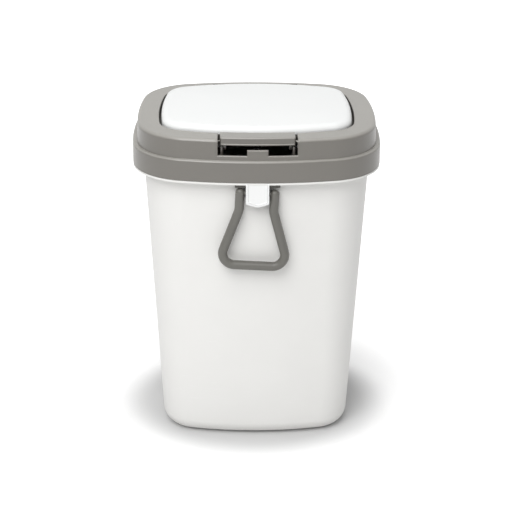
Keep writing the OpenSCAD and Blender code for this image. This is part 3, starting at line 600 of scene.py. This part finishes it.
def make_ring():
    wall, half = RING_WALL, WINDOW_HALF
    back = HINGE_Y + KNUCKLE_R + 1.2
    pocket_back = (OPENING_IN - wall / 2, MOUTH)
    obj = new_object("lid_ring_shell", ring_shell())
    cut_away(obj, window_cut())
    round_edges(obj, window_edge, 0.8)
    cut_away(obj, box((-WELL_HALF, WELL_FRONT - 1, WELL_Z), (WELL_HALF, back, TOP_Z + 2)))
    add = [band(-half - wall, half + wall, (POCKET_IN, SKIRT), pocket_back, POCKET_Z - wall, POCKET_Z),
           rod((0, SPRING_Y, POCKET_Z - 0.5), (0, SPRING_Y, SILL_Z), POST_R),
           rod((0, SPRING_Y, SILL_Z - 0.5), (0, SPRING_Y, SILL_Z + 2), POST_TIP_R, 32),
           box((-WELL_HALF - wall, WELL_FRONT, WELL_Z - wall), (WELL_HALF + wall, back + wall, WELL_Z)),
           box((-WELL_HALF - wall, back, WELL_Z - wall), (WELL_HALF + wall, back + wall, TOP_Z - 1))]
    for s in (-1, 1):
        a, b = span(s, half, wall)
        add.append(band(a, b, (POCKET_IN, SKIRT), pocket_back, POCKET_Z - wall, TOP_Z - 1))
        a, b = span(s, RIB_X, RIB_W)
        add.append(band(a, b, (RIB_IN, SKIRT), pocket_back, POCKET_Z - 0.5, PRESS_Z + 1.8))
        a, b = span(s, WELL_HALF, wall)
        well_front = MOUTH.bow_y(WELL_HALF, OPENING_IN - wall / 2)
        add.append(box((a, well_front, WELL_Z - wall), (b, back + wall, TOP_Z - 1)))
        for ear in (EAR_X, OUTER_EAR_X):
            a, b = span(s, ear, EAR_T)
            add.append(box((a, HINGE_Y - EAR_R, WELL_Z - 0.5), (b, HINGE_Y + EAR_R, HINGE_Z)))
            add.append(rod((a, HINGE_Y, HINGE_Z), (b, HINGE_Y, HINGE_Z), EAR_R))
    unite(obj, *add)
    for s in (-1, 1):
        x, y = bumper_at(s)
        cut_away(obj, pin_bore(s, RIB_X - 1, half + wall + 1, PRESS_Y, PRESS_Z, PIN_R),
                 pin_bore(s, EAR_X - 1, OUTER_EAR_X + EAR_T + 1, HINGE_Y, HINGE_Z, PIN_R),
                 rod((x, y, SEAT_Z - 1), (x, y, SEAT_Z + 2), BUMPER_R, 32))
    soften(obj)
    place(obj, "ring_body", "warm_grey", GREY_RING, "lid_ring")
    # Faces set in from the outside and below the top take the darker grey as painted shade: the opening's
    # wall and the seat round the lid, the pocket above the stop and the rear well.
    obj.data.materials.append(GREY_PAINTED_SHADE)
    line = [Vector(q) for q in SKIRT.points(6.5)]
    for poly in obj.data.polygons:
        c = poly.center / MM
        if c.z < TOP_Z - 0.7 and (c.z > STOP_Z or c.y > -60) and encloses(line, c.x, c.y):
            poly.material_index = 1


# Press bar

def bar_sweep(section, half):
    """Section of (distance behind the skirt's bow, height), carried along the bow."""
    n = 40
    xs = [-half + 2 * half * i / n for i in range(n + 1)]
    return loft([[(x, -SKIRT.bow_y(x, t), z) for t, z in section] for x in xs])


def make_bar():
    front, back = BAR_IN, HALF_D + BAR_BACK_Y
    wall = back - 1.7
    outer = (
        [(back, BAR_UNDER_Z), (wall, BAR_UNDER_Z), (wall, BAR_LOW_Z + 1.2)]
        + [(front + 6, BAR_LOW_Z + 0.3), (front + 3, BAR_LOW_Z)]
        + arc(front + 0.6, BAR_LOW_Z + 0.6, 0.6, 270, 180, 4)
        + arc(front + 0.3, BAR_LOW_Z + 0.8, 0.3, 180, 100, 3)
        + [(front + 0.45, BAR_LOW_Z + 1.35), (front + 0.5, BAR_LOW_Z + 1.7)]
        + arc(front + 2.0, BAR_TOP_Z - 1.5, 1.5, 180, 90, 8)
        + arc(back - 0.6, BAR_TOP_Z - 0.6, 0.6, 90, 0, 4))
    hollow = [(back + 1, BAR_LOW_Z - 1), (front + 1.8, BAR_LOW_Z - 1), (front + 2.0, BAR_UNDER_Z),
              (back + 1, BAR_UNDER_Z)]
    obj = new_object("press_bar_shell", bar_sweep(outer, BAR_HALF))
    cut_away(obj, bar_sweep(hollow, BAR_HALF - BAR_WALL))
    lug = RIB_X - LUG_GAP - LUG_T
    web, nose = BAR_BACK_Y - 1.8, -(MOUTH_D - LID_IN) + 0.9
    into = BAR_UNDER_Z + 0.5
    tools = [box((-HOOK_HALF, web, NOSE_Z), (HOOK_HALF, BAR_BACK_Y, into)),
             box((-HOOK_HALF, web, NOSE_Z), (HOOK_HALF, nose, NOSE_Z + NOSE_T)),
             rod((0, SPRING_Y, BAR_UNDER_Z - 1.6), (0, SPRING_Y, into), CUP_R)]
    for s in (-1, 1):
        a, b = span(s, lug, LUG_T)
        tools.append(box((a, PRESS_Y - LUG_R, PRESS_Z), (b, PRESS_Y + LUG_R, into)))
        tools.append(rod((a, PRESS_Y, PRESS_Z), (b, PRESS_Y, PRESS_Z), LUG_R))
    unite(obj, *tools)
    cut_away(obj, rod((0, SPRING_Y, BAR_UNDER_Z - 2), (0, SPRING_Y, BAR_UNDER_Z), CUP_BORE_R))
    cut_away(obj, *[pin_bore(s, lug - 1, lug + 3, PRESS_Y, PRESS_Z, BORE_R) for s in (-1, 1)])
    round_edges(obj, lambda a, b: all(abs(abs(p.x) - BAR_HALF) < 0.02 and p.y < -66 for p in (a, b)), 1.0)
    soften(obj, width=0.35, segments=3)
    place(obj, "press_body", "warm_grey", GREY_BAR, "press_bar")


# Lid

def lid_height(t, k=1.0):
    """Height of the crown over the rounding, at inset t and scale k."""
    flat = LID_IN + ROUND_W
    d = (t - flat + (MOUTH_D - t) * (1 - k)) / (MOUTH_D - flat)
    return SHOULDER_Z + ROUND_H + CROWN_H * (1 - (1 - d) ** 2)


def crown_rings(scales, drop):
    """Rings of the lid's middle, where its innermost outline shrinks towards the centre."""
    points = MOUTH.points(CROWN_IN)
    return [[(x * k, y * k, lid_height(CROWN_IN, k) - drop) for x, y in points] for k in scales]


def make_lid():
    flat, scales, insets = LID_IN + ROUND_W, (0.85, 0.7, 0.5, 0.3, 0.15, 0.03), (29, 31, 34, CROWN_IN)
    over = arc(flat, SHOULDER_Z, ROUND_W, 180, 90, 14, rz=ROUND_H)
    under = arc(flat, SHOULDER_Z - PANEL_T, ROUND_W - PANEL_T, 90, 180, 10, rz=ROUND_H)
    rim = [(LID_IN + PANEL_T, RIM_Z + 0.1), (LID_IN + 1.7, RIM_Z), (LID_IN + 0.4, RIM_Z),
           (LID_IN + 0.1, RIM_Z + 0.12), (LID_IN, RIM_Z + 0.4), (LID_IN, RIM_Z + 2.5)]
    below = [(t, lid_height(t) - PANEL_T) for t in reversed(insets)]
    above = [(t, lid_height(t)) for t in insets]
    rings = crown_rings(reversed(scales), PANEL_T) + levels(below + under + rim + over + above, MOUTH)
    obj = new_object("lid_panel_shell", loft(rings + crown_rings(scales, 0.0)))
    foot = RIM_Z + PLATE_T + BOSS_H
    unite(obj, *[rod((x, y, foot), (x, y, TOP_Z + 2.2), BOSS_R) for x, y in SCREWS])
    cut_away(obj, *[rod((x, y, RIM_Z), (x, y, foot + 4), BOSS_BORE_R, 32) for x, y in SCREWS])
    edge, inner = MOUTH_D - LID_IN, MOUTH_D - INNER_IN
    notch = CATCH_HALF + 0.1
    cut_away(obj, box((-notch, -edge - 1, RIM_Z - 1), (notch, 2 - inner, TOP_Z - 1)))
    for s in (-1, 1):
        a, b = span(s, KNUCKLE_X - 0.3, KNUCKLE_W + 0.6)
        cut_away(obj, box((a, inner - 3.5, RIM_Z - 1), (b, edge + 1, TOP_Z - 1)))
    soften(obj, width=0.25)
    place(obj, "lid_body", "white_lid", WHITE_LID, "lid_panel")


def make_lid_inner():
    """Underside of the lid: a rib all round, the catch, two hinge arms and four screw bosses."""
    top, up, t = RIM_Z + PLATE_T, TOP_Z - PANEL_T - 0.2, INNER_IN
    rib = [(t + 0.4, RIM_Z), (t, RIM_Z + 0.3), (t, up), (t + RIB_T, up), (t + RIB_T, top)]
    obj = new_object("lid_inner_shell", loft(levels(rib, MOUTH)))
    tools = [box((-CATCH_HALF, -(MOUTH_D - LID_IN), RIM_Z), (CATCH_HALF, 1 - (MOUTH_D - t), CATCH_Z))]
    for s in (-1, 1):
        a, b = span(s, KNUCKLE_X, KNUCKLE_W)
        tools.append(box((a, MOUTH_D - t - 3, RIM_Z), (b, HINGE_Y, HINGE_Z)))
        tools.append(rod((a, HINGE_Y, HINGE_Z), (b, HINGE_Y, HINGE_Z), KNUCKLE_R))
    tools += [rod((x, y, top - 0.5), (x, y, top + BOSS_H), PLATE_BOSS_R) for x, y in SCREWS]
    unite(obj, *tools)
    for s in (-1, 1):
        cut_away(obj, pin_bore(s, KNUCKLE_X - 1, KNUCKLE_X + KNUCKLE_W + 1, HINGE_Y, HINGE_Z, BORE_R))
    for x, y in SCREWS:
        cut_away(obj, rod((x, y, RIM_Z - 1), (x, y, top - 0.2), HEAD_BORE_R),
                 rod((x, y, RIM_Z), (x, y, RIM_Z + 6), SHANK_BORE_R, 32))
    soften(obj)
    place(obj, "lid_body", "warm_grey", GREY_INNER, "lid_inner")


def make_screws():
    head = [(0, -1.3), (1.5, -1.3), (2.1, -1.15), (2.45, -0.8), (2.5, -0.3), (2.4, 0), (1.2, 0)]
    thread = []
    for k in range(7):
        thread += [(1.2, 0.35 + 0.6 * k), (0.95, 0.6 + 0.6 * k)]
    for i, (x, y) in enumerate(SCREWS):
        obj = new_object("lid_screw_" + "abcd"[i], lathe(head + thread + [(0.9, 4.6), (0, 4.6)]))
        for a in (0.5, 0.5 + math.pi / 2):
            slot = box((-1.3, -0.3, -1.6), (1.3, 0.3, -0.7))
            bmesh.ops.rotate(slot, cent=(0, 0, 0), matrix=Matrix.Rotation(a + i, 3, "Z"), verts=slot.verts)
            cut_away(obj, slot)
        obj.data.transform(Matrix.Translation((x * MM, y * MM, (RIM_Z + 1.4) * MM)))
        soften(obj, width=0.06)
        place(obj, "lid_body", "steel", STEEL, *(["lid_screws"] if i == 0 else []))


# Springs and pins

def heading(points, i):
    """Direction of a line of points at one of them."""
    return (points[min(i + 1, len(points) - 1)] - points[max(i - 1, 0)]).normalized()


def circle(centre, u, v, r, sides):
    """Points round a centre, in the plane of two unit vectors."""
    turns = [2 * math.pi * k / sides for k in range(sides)]
    return [centre + (u * math.cos(w) + v * math.sin(w)) * r for w in turns]


def tube(name, path, r):
    """A round wire swept along points in millimetres, with rounded ends."""
    pts, sides = [Vector(p) for p in path], 14
    side = heading(pts, 0).orthogonal().normalized()
    rings = []
    for i, p in enumerate(pts):
        t = heading(pts, i)
        side = (side - t * side.dot(t)).normalized()
        up = t.cross(side)
        rings.append(circle(p, side, up, r, sides))
        if i in (0, len(pts) - 1):
            out = -t if i == 0 else t
            cap = [circle(p + out * (r * math.sin(a) * 0.6), side, up, r * math.cos(a), sides)
                   for a in map(math.radians, (80, 60, 40, 20))]
            rings = cap + rings if i == 0 else rings + cap[::-1]
    obj = new_object(name, loft([[tuple(p) for p in ring] for ring in rings]))
    soften(obj, width=0, sharp=60)
    return obj


def make_hinge_springs():
    """Torsion springs: one leg stands in the well, the coil goes round the pin, one leg lifts the lid."""
    r, coil_r, turns, n = 0.4, 1.9, 4, 170
    ground, lid, lid_leg = 197.5, 283.0, 8.8
    sweep = ground - lid + 360 * (turns + 1)
    x0, x1 = OUTER_EAR_X - 0.2 - r, COIL_X + 0.1 + r

    def at(degrees):
        a = math.radians(degrees)
        return HINGE_Y + coil_r * math.cos(a), HINGE_Z + coil_r * math.sin(a)

    def leg(x, degrees, reach, shares):
        """Points along the tangent of the coil, from its end at an angle."""
        a = math.radians(degrees)
        y, z = at(degrees)
        return [(x, y - reach * k * math.sin(a), z + reach * k * math.cos(a)) for k in shares]

    well_leg = (at(ground)[1] - WELL_Z - r - 0.1) / math.cos(math.radians(ground - 180))
    coil = [(x0 + (x1 - x0) * i / n,) + at(ground - sweep * i / n) for i in range(n + 1)]
    path = leg(x0, ground, well_leg, (1, 0.66, 0.33)) + coil + leg(x1, lid, -lid_leg, (0.2, 0.5, 1))
    for s, side in SIDES:
        obj = tube("hinge_spring_wire_" + side, [(s * x, y, z) for x, y, z in path], r - 0.01)
        obj.data.materials.append(WIRE)
        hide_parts("hinge_spring_" + side)
        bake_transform(obj)


def make_press_spring():
    r, coil_r, turns, n = 0.29, 2.1, 5, 200
    low, high = SILL_Z + 0.3, BAR_UNDER_Z - 0.3
    path = []
    for i in range(n + 1):
        a = 2 * math.pi * turns * i / n
        path.append((coil_r * math.cos(a), SPRING_Y + coil_r * math.sin(a), low + (high - low) * i / n))
    obj = tube("press_spring_wire", path, r)
    obj.data.materials.append(DARK_STEEL_PAINTED_SHADE)
    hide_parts("press_spring")
    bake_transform(obj)


def make_pin(name, x0, x1, y, z, material):
    r, length = PIN_R, abs(x1 - x0)
    half_end = [(0, 0), (r - 0.25, 0), (r - 0.07, 0.07), (r, 0.25)]
    profile = half_end + [(radius, length - along) for radius, along in reversed(half_end)]
    obj = new_object(name + "_turned", lathe(profile, 40))
    to_place = Matrix.Translation((min(x0, x1) * MM, y * MM, z * MM))
    obj.data.transform(to_place @ Matrix.Rotation(math.pi / 2, 4, "Y"))
    soften(obj, width=0)
    place(obj, "ring_body", "steel", material, name)


def make_pins():
    lug, far = RIB_X - LUG_GAP - LUG_T, WINDOW_HALF + RING_WALL
    for s, side in SIDES:
        make_pin("hinge_pin_" + side, s * EAR_X, s * (OUTER_EAR_X + EAR_T), HINGE_Y, HINGE_Z, STEEL)
        make_pin("press_pin_" + side, s * lug, s * far, PRESS_Y, PRESS_Z, DARK_STEEL_PAINTED_SHADE)


def make_bumpers():
    profile = [(0, -1), (1.5, -1), (BUMPER_R, -0.9), (BUMPER_R, -0.1), (1.45, 0.1), (1.0, 0.2), (0, 0.25)]
    for s, side in SIDES:
        x, y = bumper_at(s)
        obj = new_object("lid_bumper_" + side, lathe(profile))
        obj.data.transform(Matrix.Translation((x * MM, y * MM, SEAT_Z * MM)))
        soften(obj, width=0)
        place(obj, "ring_body", "rubber", RUBBER, *(["lid_bumpers"] if s < 0 else []))


# Tongue, saddle and loop

def make_tab():
    """White tongue: a raised rim down both sides and round a blunt point, with a flat field between."""
    under = FLANGE_Z - FLANGE_T
    low, top, y0, half = under - TONGUE_H, FLANGE_Z - 0.1, -HALF_D + 0.02, TONGUE_HALF

    def shape(inset, y, z1):
        w = half - inset
        xs = [-w + 2 * w * i / 32 for i in range(33)]
        bottom = [(x, low + inset * 1.1 - TONGUE_TIP * (1 - abs(x / w) ** 1.35)) for x in xs]
        return [(x, y, z) for x, z in [(-w, z1)] + bottom + [(w, z1)]]

    obj = new_object("tongue_plate", loft([shape(0, y, top) for y in (y0, y0 + TONGUE_T)]))
    unite(obj, box((-half, y0 + 1, under - FOOT_T), (half, -(HALF_D - WALL_IN) - 0.8, under)))
    field = [shape(1.6, y0 - 1, top + 1), shape(1.6, y0 + 0.05, top + 1), shape(2.2, y0 + 0.35, top + 1)]
    cut_away(obj, loft(field))
    soften(obj, width=0.35, segments=3, angle=45)
    place(obj, "bucket_body", "white_lid", WHITE_TAB_PAINTED_LIGHT, "handle_tab")


def loop_frame():
    """Where the loop's axis lies, leaning as the loop does."""
    turn = Matrix.Rotation(math.radians(LOOP_LEAN), 4, "Y")
    return Matrix.Translation((0, LOOP_Y * MM, LOOP_Z * MM)) @ turn


def make_saddle():
    """Block behind the tongue for the loop's stubs, with a strip that shows on both sides of it; its grey is
    darkened to paint the shade under the flange.
    """
    front, wall, low = -HALF_D + 1.9, -(HALF_D - WALL_IN), FLANGE_Z - FLANGE_T
    strip, half = SADDLE_HALF, TONGUE_HALF
    obj = new_object("saddle_block", box((-half, front, LOOP_Z - 4.6), (half, wall - 0.05, low - FOOT_T)))
    unite(obj, box((-strip, LOOP_Y - 1.6, low - 3), (strip, wall + 0.1, low)))
    bucket_side = [(wall_at(205), 205), (WALL_IN + 0.02, low - 1), (WALL_IN - 1, low), (WALL_IN - 1, low + 2)]
    bore = rod((-strip - 0.5, 0, 0), (strip + 0.5, 0, 0), STUB_BORE_R, 32)
    bmesh.ops.transform(bore, matrix=loop_frame(), verts=bore.verts)
    cut_away(obj, box((-half - 0.1, -HALF_D, low - FOOT_T), (half + 0.1, 0, low + 1)),
             loft(levels(bucket_side)), bore)
    soften(obj)
    place(obj, "bucket_body", "dark_grey", SADDLE_PAINTED_SHADE, "loop_saddle")


def loop_line():
    """Middle line of the loop's rod: two legs, two bends, two slants, two corners and the grip."""
    bend = Vector((LEG_X + BEND_R, -LEG_H))
    corner = Vector((LOOP_W / 2 - ROD_R - LOOP_CORNER_R, LOOP_CORNER_R - LOOP_H))
    gap = (bend - corner).length
    lean = math.atan2(bend.x - corner.x, bend.y - corner.y)
    slant = math.degrees(math.asin((BEND_R + LOOP_CORNER_R) / gap) - lean)
    turn = arc(corner.x, corner.y, LOOP_CORNER_R, slant, -90, 26)
    right = [(LEG_X, -LEG_H * k / 6) for k in range(6)]
    right += arc(bend.x, bend.y, BEND_R, 180, 180 + slant, 10)
    right += [tuple(Vector(right[-1]).lerp(Vector(turn[0]), k / 10)) for k in range(1, 10)]
    right += turn + [(corner.x * (1 - k / 8), -LOOP_H) for k in range(1, 8)]
    line = right + [(0, -LOOP_H)] + [(-x, z) for x, z in reversed(right)]
    return [Vector((x, 0, z)) for x, z in line]


def make_loop():
    points, sides = loop_line(), 40
    across = Vector((0, 1, 0))
    rings = []
    for i, p in enumerate(points):
        rings.append(circle(p, across, heading(points, i).cross(across), ROD_R, sides))

    def dome(ring, centre):
        out = []
        for a in map(math.radians, (84, 72, 60, 48, 36, 24, 12)):
            up = Vector((0, 0, ROD_R * math.sin(a)))
            out.append([centre + (q - centre) * math.cos(a) + up for q in ring])
        return out

    rings = dome(rings[0], points[0]) + rings + dome(rings[-1], points[-1])[::-1]
    obj = new_object("carry_loop_rod", loft([[tuple(p) for p in ring] for ring in rings]))
    stub_end = LEG_X - ROD_R - 6.2
    unite(obj, *[rod((s * stub_end, 0, 0), (s * LEG_X, 0, 0), STUB_R) for s in (-1, 1)])
    obj.data.transform(loop_frame())
    soften(obj, width=0.25, angle=50)
    place(obj, "loop_body", "dark_grey", GREY_LOOP, "carry_loop")


# Studio

def make_camera():
    azimuth, elevation = math.radians(AZIMUTH), math.radians(ELEVATION)
    back = Vector((math.sin(azimuth) * math.cos(elevation), -math.cos(azimuth) * math.cos(elevation),
                   math.sin(elevation)))
    data = bpy.data.cameras.new("camera")
    data.sensor_width, data.lens = SENSOR, FOCAL_PX / PICTURE_PX * SENSOR
    data.clip_start, data.clip_end = 0.05, 20
    camera = bpy.data.objects.new("camera", data)
    camera.location = Vector(TARGET) + back
    turn = (-back).to_track_quat("-Z", "Y").to_matrix() @ Matrix.Rotation(math.radians(ROLL), 3, "Z")
    camera.rotation_euler = turn.to_euler()
    bpy.context.scene.collection.objects.link(camera)
    bpy.context.scene.camera = camera


def lamp(name, place_at, size, watts):
    """A round area lamp that looks at the middle of the part."""
    data = bpy.data.lights.new(name, "AREA")
    data.shape, data.size, data.energy = "DISK", size, watts
    obj = bpy.data.objects.new(name, data)
    obj.location = place_at
    obj.rotation_euler = (Vector((0, 0, 0.15)) - obj.location).to_track_quat("-Z", "Y").to_euler()
    bpy.context.scene.collection.objects.link(obj)


def make_floor():
    """Darker near the part, a painted shadow round the foot, and lifted far off by a glow that only the
    camera and gloss see, painted light; the cast shadow is kept; reach is 1 round the bucket's foot.
    """
    foot_x, foot_y = 0.076, 0.061
    bm = bmesh.new()
    bmesh.ops.create_grid(bm, x_segments=1, y_segments=1, size=6)
    floor = new_object("floor", bm)
    s = Surface("floor", Roughness=0.9, Specular_IOR_Level=0.2, Emission_Strength=1.0)
    where = s.coordinate("Object")
    reach = ((s.axis(where, "X") / foot_x) ** 2.0 + (s.axis(where, "Y") / foot_y) ** 2.0) ** 0.5
    # Painted shadow: the floor's colour darkens towards the foot.
    s.feed("Base Color", s.mix(reach.smooth(1.2, 2.4), (0.63, 0.63, 0.63, 1), (0.82, 0.82, 0.82, 1)))
    # Painted light: a glow that the camera and gloss see whitens the floor more the farther it lies from the
    # foot.
    glow = reach.smooth(1.1, 1.6) * 0.4 + reach.smooth(1.5, 3.0) * 0.3 + reach.smooth(3.0, 12.0) * 0.2
    glow = glow * s.seen()
    s.feed("Emission Color", s.add("ShaderNodeCombineXYZ", {}, glow, glow, glow))
    floor.data.materials.append(s.material)


def make_studio():
    make_floor()
    world = bpy.data.worlds.new("studio")
    sky = Shading(world, "Background")
    sky.shader.inputs["Color"].default_value = (1, 1, 1, 1)
    sky.feed("Strength", 0.44 + 0.56 * sky.seen())
    bpy.context.scene.world = world
    lamp("key", (-0.38, -1.05, 1.35), 1.1, 17)
    lamp("top", (-0.1, -0.1, 1.5), 1.4, 4.6)
    bpy.context.scene.view_settings.view_transform = "Standard"


make_camera()
make_studio()
make_bucket()
make_ring()
make_bar()
make_lid()
make_lid_inner()
make_screws()
make_pins()
make_hinge_springs()
make_press_spring()
make_bumpers()
make_tab()
make_saddle()
make_loop()
